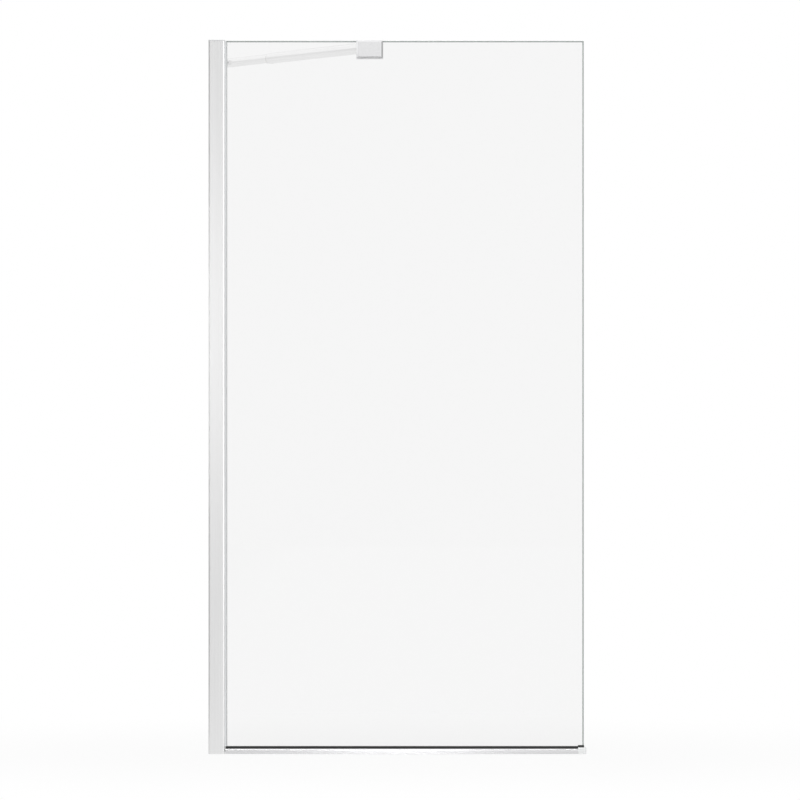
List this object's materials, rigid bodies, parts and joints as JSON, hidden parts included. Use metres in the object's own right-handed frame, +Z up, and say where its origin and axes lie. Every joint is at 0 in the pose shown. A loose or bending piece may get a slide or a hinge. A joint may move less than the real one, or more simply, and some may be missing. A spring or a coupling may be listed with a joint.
{
  "type": "glass shower panel",
  "caption": "Walk-in shower panel: clear glass pane in a wall channel and a low floor rail, with a bevelled top clamp and a telescopic bar back to the wall.",
  "frame": {"origin": "on the wall, level with the tray, in the middle plane of the glass: the foot of the wall channel's back", "axes": "+X out from the wall along the glass, +Y through the glass to the side of the bar, +Z up"},
  "size_m": [1.0065, 0.478, 1.9095],
  "materials": {
    "bright_aluminium": "bright anodised",
    "chrome": "polished",
    "toughened_glass": "clear, polished edges",
    "pale_plastic": "fine matt moulded",
    "nylon": "natural nylon",
    "black_rubber": "matt extruded",
    "grey_rubber": "matt",
    "stainless_steel": "turned"
  },
  "bodies": {
    "wall_side": {"wall_channel": "bright_aluminium", "channel_cap": "pale_plastic", "locking_screws": "stainless_steel"},
    "panel": {"glass_pane": "toughened_glass", "glazing_profile": "bright_aluminium", "profile_cap": "pale_plastic", "front_glazing_gasket": "grey_rubber", "rear_glazing_gasket": "grey_rubber", "edge_packers": "nylon", "floor_rail": "bright_aluminium", "front_rail_gasket": "black_rubber", "rear_rail_gasket": "black_rubber", "setting_blocks": "nylon", "rail_end_cap": "pale_plastic", "end_cap_seal": "black_rubber", "clamp_front_plate": "chrome", "clamp_front_pad": "grey_rubber", "clamp_rear_plate": "chrome", "clamp_rear_pad": "grey_rubber", "clamp_sleeves": "nylon", "clamp_bolts": "stainless_steel"},
    "bar_outer": {"clamp_fork": "chrome", "clamp_hinge_pin": "stainless_steel", "clamp_fork_screw": "stainless_steel", "outer_tube": "bright_aluminium", "guide_bush": "nylon", "bar_locking_screw": "stainless_steel"},
    "bar_inner": {"inner_tube": "bright_aluminium", "tube_glide": "nylon", "bracket_fork": "chrome", "bracket_hinge_pin": "stainless_steel", "bracket_fork_screw": "stainless_steel"},
    "bracket": {"wall_bracket": "chrome"}
  },
  "joints": [
    {"name": "panel_adjust", "type": "slide", "parent": "wall_side", "child": "panel", "axis": [1, 0, 0], "range_m": [-0.001, 0.019]},
    {"name": "bar_swing", "type": "hinge", "parent": "panel", "child": "bar_outer", "pos_m": [0.43, 0.0305, 1.8845], "axis": [0, 0, -1], "range_deg": [-20, 125]},
    {"name": "bar_length", "type": "slide", "parent": "bar_outer", "child": "bar_inner", "axis": [-0.7071, 0.7071, 0], "range_m": [-0.12, 0.12]},
    {"name": "bracket_swing", "type": "hinge", "parent": "bar_inner", "child": "bracket", "pos_m": [0.025, 0.4355, 1.8845], "axis": [0, 0, 1], "range_deg": [-125, 35]}
  ]
}
